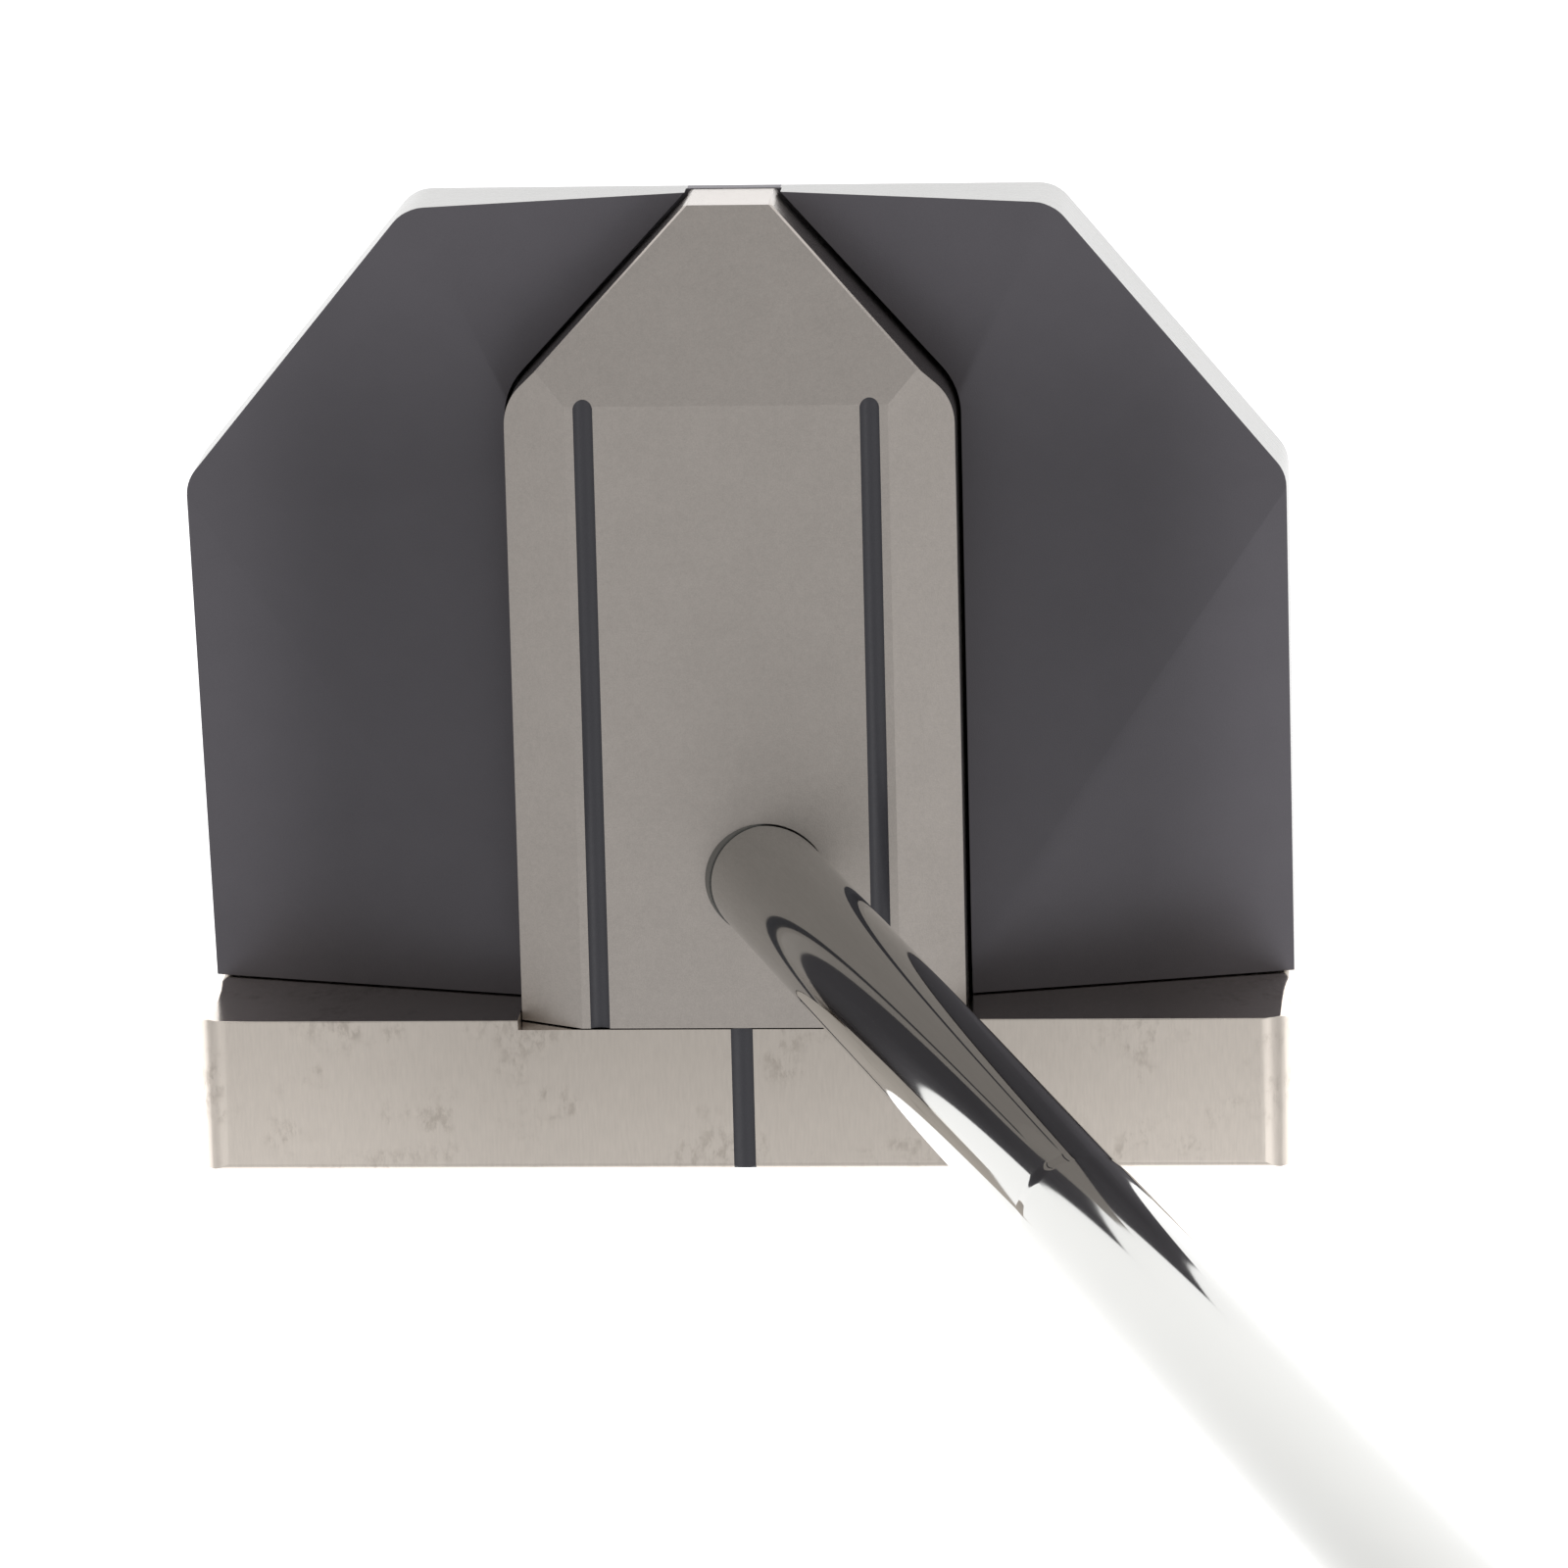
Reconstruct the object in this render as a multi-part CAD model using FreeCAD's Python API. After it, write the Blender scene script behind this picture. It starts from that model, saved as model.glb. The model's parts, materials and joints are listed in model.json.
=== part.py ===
"""Mallet putter: milled head with wings, spine and face bar, stepped shaft and moulded grip.

The head is drawn with its face at y = 0, its rear at +Y, its heel at +X and the ground at
z = 0. It is then moved so that the origin lies on the ground under the middle of the head.
"""
import FreeCAD, Part
import math
import os

V = FreeCAD.Vector
UP = V(0, 0, 1)
DOWN = V(0, 0, -1)
BACK = V(0, 1, 0)
FORWARD = V(0, -1, 0)
BEYOND = 60.0                   # reach of a cutter that runs out of the metal

# ---- driving dimensions, mm ------------------------------------------------------------
HEAD_HALF_WIDTH = 45.3
HEAD_DEPTH = 80.0
HEAD_TOP = 24.7
FACE_LOFT = 3.0
SEAM = 0.1                      # hairline between clamped head pieces

BAR_DEPTH = 12.9
LOFT_REACH = HEAD_TOP * math.tan(math.radians(FACE_LOFT))
BAR_END_ROUND = 2.6
BAR_FRONT_ROUND = 2.0
BAR_BACK_ROUND = 1.0
BAR_EDGE_ROUND = 0.8
BAR_BACK_EDGE = 0.15
BAR_LEAD_ROUND = 1.5
BAR_HEEL_ROUND = 2.0
BAR_FLAT_HALF = 24.0            # level part of the bar's underside
BAR_END_LIFT = 2.4

WING_TOP = 17.9
WING_REAR_LOW = 12.6            # wing top beside the tail
WING_FRONT_LOW = 10.5           # wing top at its front outer corner
RIM_BOTTOM = 9.3
RIM_FRONT_BOTTOM = 4.5
WING_CORNER_ROUND = 3.2
REAR_CORNER = (26.5, HEAD_DEPTH)
SIDE_CORNER = (HEAD_HALF_WIDTH, 57.3)
REAR_CREASE_END = (19.2, 65.0)
SIDE_CREASE_START = (HEAD_HALF_WIDTH, 56.0)
SIDE_CREASE_END = (19.2, 17.5)
POCKET_FLOOR = 10.6
SOLE_LEVEL = 2.0
SIDE_FOOT = (24.0, 35.0, SOLE_LEVEL)    # where the underside planes meet the sole
CORNER_FOOT = (15.0, 49.0, SOLE_LEVEL)
REAR_FOOT = 51.0

SPINE_HALF_WIDTH = 18.45
SPINE_NOSE = 12.2
SPINE_SHOULDER = 64.6
SPINE_SHOULDER_ROUND = 5.0
SPINE_TAIL_HALF = 3.55
SPINE_TAIL = 79.95
SPINE_CREASE_X = 13.2
SPINE_CREASE_Y = 64.8
SPINE_EDGE_TOP = 21.9
SPINE_TAIL_TOP = 17.4
SPINE_TAIL_ROUND = 0.6
SPINE_GAP = 0.3
TAIL_BREAK = 0.2
SPINE_SKIN = 3.4

LINE_X = 11.7                   # the two sight lines
LINE_END = 65.35
LINE_WIDTH = 1.6
BAR_LINE_WIDTH = 1.8
LINE_DEPTH = 0.9
PAINT_EDGE = 0.08
PAINT_DISH = 0.3

SHAFT_ENTRY = V(2.35, 24.85, HEAD_TOP)
SHAFT_LEAN_HEEL = 18.3
SHAFT_LEAN_FACE = 0.9
SHAFT_TIP_RADIUS = 4.7
SHAFT_WALL = 0.6
SHAFT_SEAT = 18.5               # length held in the head
SHAFT_FIRST_STEP = 93.0         # above the entry
SHAFT_FIRST_GROWTH = 0.08
SHAFT_SERIES_START = 207.0      # the regular steps
SHAFT_STEP_PITCH = 38.0
SHAFT_STEPS = 12
SHAFT_BUTT_RADIUS = 7.6
SHAFT_CONE = 2.4                # length of the cone at each step
SOCKET_SPARE = 0.3
BOSS_RADIUS = 7.2
BOND_GAP = 0.1                  # adhesive film round the shaft tip
BOND_TOP = 0.25                 # below the entry
TIP_WEIGHT_RADIUS = 4.05
TIP_WEIGHT_TOP = 16.0

PUTTER_HEIGHT = 822.0
GRIP_LENGTH = 266.0
TAPE_THICKNESS = 0.3
CORE_THICKNESS = 1.6
CAP_FLANGE = 3.2
CAP_PLUG = 12.0
CAP_VENT_RADIUS = 1.2
CORE_INSET = 1.0
# pistol grip: distance above the mouth, half width, reach of the flat front and of the round back
GRIP_STATIONS = [(0.0, 10.2, 9.9, 10.3), (60.0, 11.2, 10.9, 11.8), (130.0, 12.2, 11.6, 13.8),
                 (195.0, 13.2, 12.2, 16.6), (235.0, 13.8, 12.4, 18.2),
                 (GRIP_LENGTH - CAP_FLANGE, 13.6, 12.3, 16.8)]

WEIGHT_X = 36.0
WEIGHT_Y = 6.4
WEIGHT_FLANGE_RADIUS = 5.2
WEIGHT_FLANGE = 2.2
WEIGHT_THREAD_RADIUS = 4.0
WEIGHT_THREAD = 7.2
WEIGHT_CLEAR = 0.08
WEIGHT_EDGE = 0.4
RING_TUBE = 0.55
RING_CLEAR = 0.02

WEIGHT_SEAT = 5.5               # height of the shoulder that the weight's ring seals on
WEIGHT_ROOF = 13.0
WEIGHT_KEY = 2.3
WEIGHT_KEY_DEPTH = 3.0

SCREW_RADIUS = 1.5
SCREW_HOLE_RADIUS = 1.65
SCREW_HEAD_RADIUS = 2.75
SCREW_HEAD = 2.8
SPINE_SCREW_LENGTH = 9.0
SPINE_POST_RADIUS = 3.2
BAR_SCREW_X = 13.6
BAR_SCREW_Z = 5.4
BAR_SCREW_LENGTH = 13.0
BAR_SCREW_TIP = 5.5
BAR_SCREW_HEAD_RADIUS = 2.45
DOWEL_X = 11.2
DOWEL_Z = 16.4
DOWEL_RADIUS = 1.5
DOWEL_START = 8.0
DOWEL_END = 17.0
PLATE_SCREW_RADIUS = 1.25
PLATE_HEAD_RADIUS = 2.4
PLATE_HEAD_SINK = 0.15
PLATE_HEAD = 1.2
PLATE_SCREW_LENGTH = 5.2
PLATE_EDGE = 0.5

FLOOR_BOTTOM = 8.4              # underside of the floor that carries the spine
CAVITY_FRONT = 19.5
BOSS_BOTTOM = 5.2
BOSS_CLEAR = 0.5
OUTER_POCKET_ROOF = 9.0
INNER_POCKET_ROOF = 14.4

# outline corners of the +X half, front to rear: x, y, round
CAVITY_HALF = [(17.4, CAVITY_FRONT, 1.2), (17.4, 37.0, 2.0), (11.5, 47.0, 2.0)]
PLATE_HALF = [(26.0, 15.2, 2.0), (26.0, 24.0, 4.0), (12.5, 50.0, 3.0)]
ROOM_HALF = [(14.9, 17.6, 2.0), (14.9, 58.0, 2.0)]
OUTER_POCKET = [(27.0, 21.0, 3.0), (38.5, 21.0, 3.0), (40.0, 52.0, 3.0), (28.0, 68.0, 3.0), (25.0, 55.0, 3.0)]
INNER_POCKET = [(27.0, 36.0, 2.0), (35.0, 46.0, 2.0), (36.0, 54.0, 2.0), (28.0, 64.0, 2.0)]
SPINE_SCREWS = [(13.2, 34.5), (-13.2, 34.5), (8.6, 43.6), (-8.6, 43.6)]
PLATE_SCREWS = [(21.8, 19.6), (-21.8, 19.6), (0.0, 17.2), (14.6, 43.6), (-14.6, 43.6)]
# bar's back pockets: x from, x to, y from, z from, z to
BAR_POCKETS = [(-7.5, 7.5, 4.5, 9.5, 20.5), (15.3, 29.3, 5.0, 8.5, 13.2), (-29.3, -15.3, 5.0, 8.5, 13.2)]


# ---- shape helpers -----------------------------------------------------------------------
def outline(corners, z):
    """Face at height z from (x, y, round) corners, with each round as an arc."""
    count = len(corners)
    ends = []
    for i, (x, y, radius) in enumerate(corners):
        here = V(x, y, z)
        before = V(corners[i - 1][0], corners[i - 1][1], z) - here
        after = V(corners[(i + 1) % count][0], corners[(i + 1) % count][1], z) - here
        before.normalize()
        after.normalize()
        half = math.acos(max(-1.0, min(1.0, before.dot(after)))) / 2
        if radius <= 0:
            ends.append((here, None, here))
            continue
        back_off = radius / math.tan(half)
        middle = (before + after).normalize()
        crown = here + middle * (radius / math.sin(half) - radius)
        ends.append((here + before * back_off, crown, here + after * back_off))
    edges = []
    for i, (start, crown, stop) in enumerate(ends):
        if crown is not None:
            edges.append(Part.Arc(start, crown, stop).toShape())
        edges.append(Part.LineSegment(stop, ends[(i + 1) % count][0]).toShape())
    return Part.Face(Part.Wire(edges))


def slab(corners, bottom, top):
    """Upright prism on a rounded outline."""
    return outline(corners, bottom).extrude(V(0, 0, top - bottom))


def across_depth(corners, front, rear):
    """Prism along Y on an outline of (x, z, round) corners."""
    solid = outline(corners, 0).extrude(V(0, 0, rear - front))
    solid.Placement = FreeCAD.Placement(V(0, rear, 0), FreeCAD.Rotation(V(1, 0, 0), 90))
    return solid


def across_width(corners, half):
    """Prism along X on an outline of (y, z, round) corners."""
    solid = outline(corners, 0).extrude(V(0, 0, half * 2))
    turn = FreeCAD.Rotation(V(0, 1, 0), UP, V(1, 0, 0))
    solid.Placement = FreeCAD.Placement(V(-half, 0, 0), turn)
    return solid


def both_sides(half):
    """Outline corners of the +X half, from front to rear, with their mirror images."""
    return half + [(-x, y, radius) for x, y, radius in reversed(half)]


def block(x0, x1, y0, y1, z0, z1):
    """Box between two corners."""
    return Part.makeBox(x1 - x0, y1 - y0, z1 - z0, V(x0, y0, z0))


def rod(base, axis, radius, length):
    """Cylinder from a base point along an axis."""
    return Part.makeCylinder(radius, length, base, axis)


def trim(solid, towards, a, b, c):
    """Cut away what lies on one side, given by a direction, of the plane through a, b and c."""
    normal = (V(*b) - V(*a)).cross(V(*c) - V(*a))
    normal.normalize()
    if normal.dot(towards) < 0:
        normal = normal * -1
    cutter = Part.makeBox(400, 400, 200, V(-200, -200, 0))
    cutter.Placement = FreeCAD.Placement(V(*a), FreeCAD.Rotation(UP, normal))
    return solid.cut(cutter)


def mirrored(solid):
    """The same on the other side of the head."""
    return solid.mirror(V(0, 0, 0), V(1, 0, 0))


def lean_point(distance):
    """Point on the shaft axis at a distance above the entry."""
    return SHAFT_ENTRY + SHAFT_AXIS * distance


def lathe(profile):
    """Solid of revolution about the shaft axis from (radius, distance) points."""
    points = [V(radius, 0, distance) for radius, distance in profile]
    wire = Part.makePolygon(points + [points[0]])
    solid = Part.Face(wire).revolve(V(0, 0, 0), UP, 360)
    solid.Placement = FreeCAD.Placement(SHAFT_ENTRY, FreeCAD.Rotation(UP, SHAFT_AXIS))
    return solid


def edges_at(solid, height):
    """Edges that lie level at a height."""
    return [edge for edge in solid.Edges if all(abs(v.Z - height) < 0.01 for v in edge.Vertexes)]


def at_height(z):
    """Point on the shaft axis at a height above the ground."""
    return lean_point((z - HEAD_TOP) / SHAFT_AXIS.z)


SHAFT_AXIS = V(math.tan(math.radians(SHAFT_LEAN_HEEL)), -math.tan(math.radians(SHAFT_LEAN_FACE)), 1)
SHAFT_AXIS.normalize()
SHAFT_LENGTH = (PUTTER_HEIGHT - HEAD_TOP) / SHAFT_AXIS.z
GRIP_MOUTH = SHAFT_LENGTH - GRIP_LENGTH
GRIP_SIDE = SHAFT_AXIS.cross(V(-1, 0, 0)).normalize()
GRIP_FRONT = GRIP_SIDE.cross(SHAFT_AXIS)


# ---- head --------------------------------------------------------------------------------
def spine_outline(grow=0.0, nose=SPINE_NOSE, tail=SPINE_TAIL):
    """Home-plate outline of the spine, grown sideways for its pocket."""
    slope = (SPINE_HALF_WIDTH - SPINE_TAIL_HALF) / (SPINE_TAIL - SPINE_SHOULDER)
    side = SPINE_HALF_WIDTH + grow
    shoulder = SPINE_SHOULDER + grow * 0.45
    tail_half = side - slope * (tail - shoulder)
    corner = SPINE_TAIL_ROUND if grow == 0 else 0.0
    bend = (side, shoulder, SPINE_SHOULDER_ROUND + grow)
    return both_sides([(side, nose, 0.0), bend, (tail_half, tail, corner)])


def groove(x, front, rear, width):
    """Cutter for a sight line's groove, with a round rear end."""
    half = width / 2
    floor = HEAD_TOP - LINE_DEPTH
    slot = block(x - half, x + half, front, rear - half, floor, BEYOND)
    return slot.fuse(rod(V(x, rear - half, floor), UP, half, BEYOND - floor)).removeSplitter()


def dished(fill, x, width):
    """Hollow the paint's surface across the groove, deepest at its middle."""
    half = width / 2
    radius = (half * half + PAINT_DISH * PAINT_DISH) / (2 * PAINT_DISH)
    edge = HEAD_TOP - PAINT_EDGE
    fill = fill.cut(block(x - width, x + width, -BEYOND, HEAD_DEPTH, edge, BEYOND))
    return fill.cut(rod(V(x, -BEYOND, edge - PAINT_DISH + radius), BACK, radius, HEAD_DEPTH + BEYOND))


def build_bar():
    """Steel face bar with its sight-line groove, back pockets and weight wells."""
    corners = [(HEAD_HALF_WIDTH, -LOFT_REACH, BAR_FRONT_ROUND), (HEAD_HALF_WIDTH, BAR_DEPTH, BAR_BACK_ROUND)]
    plan = both_sides(corners)
    elevation = both_sides([(BAR_FLAT_HALF, 0, 0), (HEAD_HALF_WIDTH, BAR_END_LIFT, BAR_HEEL_ROUND),
                            (HEAD_HALF_WIDTH, HEAD_TOP, BAR_END_ROUND)])
    profile = [(BAR_DEPTH, 0, 0), (BAR_DEPTH, HEAD_TOP, BAR_BACK_EDGE), (0, HEAD_TOP, BAR_EDGE_ROUND),
               (-LOFT_REACH, 0, BAR_LEAD_ROUND)]
    bar = slab(plan, 0, HEAD_TOP)
    bar = bar.common(across_depth(elevation, -LOFT_REACH - 1, BAR_DEPTH + 1))
    bar = bar.common(across_width(profile, HEAD_HALF_WIDTH + 1))

    whole = bar.copy()
    line = groove(0, -LOFT_REACH, BAR_DEPTH + 1, BAR_LINE_WIDTH)
    paint = dished(whole.common(line), 0, BAR_LINE_WIDTH)
    bar = bar.cut(line)

    nose_half = SPINE_HALF_WIDTH + SEAM
    nose = block(-nose_half, nose_half, SPINE_NOSE - SEAM, BEYOND, POCKET_FLOOR - SEAM, BEYOND)
    bar = bar.cut(nose)
    for x0, x1, front, bottom, top in BAR_POCKETS:
        bar = bar.cut(block(x0, x1, front, BEYOND, bottom, top))
    for side in (1, -1):
        well = V(side * WEIGHT_X, WEIGHT_Y, -1)
        bar = bar.cut(rod(well, UP, WEIGHT_FLANGE_RADIUS + WEIGHT_CLEAR, WEIGHT_SEAT + 1))
        bar = bar.cut(rod(well, UP, WEIGHT_THREAD_RADIUS + WEIGHT_CLEAR, WEIGHT_ROOF + 1))
        bar = bar.cut(rod(V(side * BAR_SCREW_X, BAR_SCREW_TIP, BAR_SCREW_Z), BACK, SCREW_RADIUS, BAR_DEPTH))
        bar = bar.cut(rod(V(side * DOWEL_X, DOWEL_START, DOWEL_Z), BACK, DOWEL_RADIUS, BAR_DEPTH))
    return bar, paint.cut(nose)


def build_wing_body():
    """One-piece body: two faceted wings joined by the floor under the spine."""
    front = BAR_DEPTH + SEAM
    half = [(0, front, 0), (HEAD_HALF_WIDTH, front, 0),
            SIDE_CORNER + (WING_CORNER_ROUND,), REAR_CORNER + (WING_CORNER_ROUND,), (0, HEAD_DEPTH, 0)]
    wing = slab(half, SOLE_LEVEL, WING_TOP)
    # rear inner facet falls towards the tail, front outer facet falls towards the bar's end
    wing = trim(wing, UP, (5.0, HEAD_DEPTH, WING_REAR_LOW), REAR_CORNER + (WING_TOP,),
                REAR_CREASE_END + (WING_TOP,))
    wing = trim(wing, UP, (HEAD_HALF_WIDTH, front, WING_FRONT_LOW), SIDE_CREASE_START + (WING_TOP,),
                SIDE_CREASE_END + (WING_TOP,))
    # underside planes rise from the sole to the rim
    wing = trim(wing, DOWN, (HEAD_HALF_WIDTH, front, RIM_FRONT_BOTTOM), SIDE_CORNER + (RIM_BOTTOM,), SIDE_FOOT)
    wing = trim(wing, DOWN, (0, HEAD_DEPTH, RIM_BOTTOM), REAR_CORNER + (RIM_BOTTOM,), (0, REAR_FOOT, SOLE_LEVEL))
    wing = trim(wing, DOWN, REAR_CORNER + (RIM_BOTTOM,), SIDE_CORNER + (RIM_BOTTOM,), CORNER_FOOT)
    # lightening pockets milled from below, the inner one deeper
    wing = wing.cut(slab(OUTER_POCKET, 0, OUTER_POCKET_ROOF))
    wing = wing.cut(slab(INNER_POCKET, 0, INNER_POCKET_ROOF))

    body = wing.fuse(mirrored(wing)).removeSplitter()
    body = body.cut(slab(spine_outline(SPINE_GAP, 0, HEAD_DEPTH + 1), POCKET_FLOOR, BEYOND))
    body = body.cut(slab(both_sides(CAVITY_HALF), 0, FLOOR_BOTTOM))
    body = body.cut(rod(at_height(SOLE_LEVEL), SHAFT_AXIS, BOSS_RADIUS + BOSS_CLEAR, HEAD_TOP))
    for x, y in SPINE_SCREWS:
        body = body.cut(rod(V(x, y, SOLE_LEVEL), UP, SCREW_HOLE_RADIUS, POCKET_FLOOR))
    for side in (1, -1):
        body = body.cut(rod(V(side * BAR_SCREW_X, 0, BAR_SCREW_Z), BACK, SCREW_HOLE_RADIUS, CAVITY_FRONT + 1))
    for x, y in PLATE_SCREWS:
        body = body.cut(rod(V(x, y, 0), UP, PLATE_SCREW_RADIUS, PLATE_HEAD_SINK + PLATE_SCREW_LENGTH))
    return body


def spine_tops(solid):
    """Trim a prism to the spine's crowned top: level middle, falling sides and tail."""
    for side in (1, -1):
        crease = (side * SPINE_CREASE_X, 0, HEAD_TOP)
        edge = (side * SPINE_HALF_WIDTH, 0, SPINE_EDGE_TOP)
        solid = trim(solid, UP, crease, edge, (side * SPINE_CREASE_X, 10, HEAD_TOP))
        # thin bevel along the tail's slanting edge
        fall = (HEAD_TOP - SPINE_TAIL_TOP) / (SPINE_TAIL - SPINE_CREASE_Y)
        shoulder_top = HEAD_TOP + fall * (SPINE_CREASE_Y - SPINE_SHOULDER) - TAIL_BREAK
        tail = (side * SPINE_TAIL_HALF, SPINE_TAIL, SPINE_TAIL_TOP - TAIL_BREAK)
        inside = (side * (SPINE_TAIL_HALF - TAIL_BREAK), SPINE_TAIL, SPINE_TAIL_TOP)
        solid = trim(solid, UP, (side * SPINE_HALF_WIDTH, SPINE_SHOULDER, shoulder_top), tail, inside)
    return trim(solid, UP, (0, SPINE_CREASE_Y, HEAD_TOP), (10, SPINE_CREASE_Y, HEAD_TOP),
                (0, SPINE_TAIL, SPINE_TAIL_TOP))


def build_spine():
    """Bead-blasted bridge that holds the shaft, hollow underneath, with its two grooves."""
    spine = spine_tops(slab(spine_outline(), POCKET_FLOOR, HEAD_TOP))
    room = slab(both_sides(ROOM_HALF), 0, HEAD_TOP - SPINE_SKIN)
    for x, y in SPINE_SCREWS:
        room = room.cut(rod(V(x, y, 0), UP, SPINE_POST_RADIUS, HEAD_TOP))
    boss = rod(at_height(0), SHAFT_AXIS, BOSS_RADIUS, HEAD_TOP)
    spine = spine.cut(room.cut(boss))
    below = block(-BEYOND, BEYOND, 0, BEYOND, BOSS_BOTTOM, POCKET_FLOOR + 1)
    spine = spine.fuse(boss.common(below)).removeSplitter()

    whole = spine.copy()
    paints = []
    for side in (1, -1):
        line = groove(side * LINE_X, 0, LINE_END, LINE_WIDTH)
        paints.append(dished(whole.common(line), side * LINE_X, LINE_WIDTH))
        spine = spine.cut(line)

    socket = lean_point(-SHAFT_SEAT - SOCKET_SPARE)
    spine = spine.cut(rod(socket, SHAFT_AXIS, SHAFT_TIP_RADIUS + BOND_GAP, BEYOND))
    for x, y in SPINE_SCREWS:
        spine = spine.cut(rod(V(x, y, FLOOR_BOTTOM), UP, SCREW_RADIUS, SPINE_SCREW_LENGTH + 1))
    for side in (1, -1):
        spine = spine.cut(dowel(side))
    return spine, paints


def dowel(side):
    """Pin that lines the bar up with the spine's nose."""
    return rod(V(side * DOWEL_X, DOWEL_START, DOWEL_Z), BACK, DOWEL_RADIUS, DOWEL_END - DOWEL_START)


def cap_screw(seat, axis, length, head_radius):
    """Socket-head screw: shank along an axis from the head's seat, head behind it."""
    shank = rod(seat, axis, SCREW_RADIUS, length)
    head = rod(seat, axis * -1, head_radius, SCREW_HEAD)
    key = rod(seat - axis * SCREW_HEAD, axis, head_radius * 0.45, SCREW_HEAD * 0.6)
    return shank.fuse(head).cut(key)


def flat_screw(x, y):
    """Countersunk screw from below, its head just inside the sole plate's face."""
    foot = V(x, y, PLATE_HEAD_SINK)
    head = Part.makeCone(PLATE_HEAD_RADIUS, PLATE_SCREW_RADIUS, PLATE_HEAD, foot, UP)
    shank = rod(foot, UP, PLATE_SCREW_RADIUS, PLATE_SCREW_LENGTH)
    key = slab(hexagon(x, y, PLATE_HEAD_RADIUS * 0.4), 0, PLATE_HEAD_SINK + PLATE_HEAD * 0.8)
    return head.fuse(shank).cut(key)


def hexagon(x, y, radius):
    """Outline of a hex key socket."""
    angles = [math.radians(60 * i) for i in range(6)]
    return [(x + radius * math.cos(a), y + radius * math.sin(a), 0) for a in angles]


def build_sole_plate():
    """Plate that closes the cavity from below, with countersunk screw holes."""
    plate = slab(both_sides(PLATE_HALF), 0, SOLE_LEVEL)
    plate = plate.makeChamfer(PLATE_EDGE, edges_at(plate, 0))
    mouth = PLATE_HEAD_RADIUS + SEAM
    hole = PLATE_SCREW_RADIUS + SEAM
    for x, y in PLATE_SCREWS:
        plate = plate.cut(Part.makeCone(mouth, hole, PLATE_HEAD, V(x, y, PLATE_HEAD_SINK)))
        plate = plate.cut(rod(V(x, y, 0), UP, mouth, PLATE_HEAD_SINK))
        plate = plate.cut(rod(V(x, y, 0), UP, hole, SOLE_LEVEL))
    return plate


def build_weight(side):
    """Screw-in sole weight: flange with a hex key socket and a threaded stem."""
    base = WEIGHT_SEAT - RING_TUBE * 2 - WEIGHT_FLANGE
    top = base + WEIGHT_FLANGE + WEIGHT_THREAD
    centre = V(side * WEIGHT_X, WEIGHT_Y, base)
    flange = rod(centre, UP, WEIGHT_FLANGE_RADIUS, WEIGHT_FLANGE)
    flange = flange.makeChamfer(WEIGHT_EDGE, edges_at(flange, base))
    stem = rod(centre, UP, WEIGHT_THREAD_RADIUS, top - base)
    stem = stem.makeChamfer(WEIGHT_EDGE, edges_at(stem, top))
    key = slab(hexagon(centre.x, centre.y, WEIGHT_KEY), base, base + WEIGHT_KEY_DEPTH)
    return flange.fuse(stem).cut(key).removeSplitter()


def build_ring(side):
    """Rubber ring squeezed between a weight's flange and its seat."""
    centre = V(side * WEIGHT_X, WEIGHT_Y, WEIGHT_SEAT - RING_TUBE)
    return Part.makeTorus(WEIGHT_THREAD_RADIUS + WEIGHT_CLEAR + RING_TUBE, RING_TUBE - RING_CLEAR, centre, UP)


# ---- shaft and grip ------------------------------------------------------------------------
def shaft_profile(inset):
    """Outer or inner profile of the stepped tube, inset from the outside, tip to butt."""
    radius = SHAFT_TIP_RADIUS
    points = [(radius - inset, -SHAFT_SEAT)]
    growth = (SHAFT_BUTT_RADIUS - SHAFT_TIP_RADIUS - SHAFT_FIRST_GROWTH) / SHAFT_STEPS
    steps = [(SHAFT_FIRST_STEP, SHAFT_FIRST_GROWTH)]
    steps += [(SHAFT_SERIES_START + i * SHAFT_STEP_PITCH, growth) for i in range(SHAFT_STEPS)]
    for start, step in steps:
        points.append((radius - inset, start))
        radius += step
        points.append((radius - inset, start + SHAFT_CONE))
    points.append((SHAFT_BUTT_RADIUS - inset, SHAFT_LENGTH - CAP_FLANGE))
    return points


def tube_between(start, stop, inner, outer):
    """Plain tube about the shaft axis."""
    return lathe([(inner, start), (outer, start), (outer, stop), (inner, stop)])


def grip_wire(distance, half, front, back):
    """Closed section across the shaft: flat front, round back, soft corners."""
    shoulder = front - half * 0.42
    right = [(half * 0.62, front), (half, shoulder), (half, 0), (half * 0.72, -back * 0.78)]
    left = [(-side, reach) for side, reach in reversed(right)]
    centre = lean_point(GRIP_MOUTH + distance)
    points = [centre + GRIP_SIDE * side + GRIP_FRONT * reach for side, reach in right + [(0, -back)] + left]
    curve = Part.BSplineCurve()
    curve.interpolate(points, PeriodicFlag=True)
    return Part.Wire([curve.toShape()])


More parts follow.
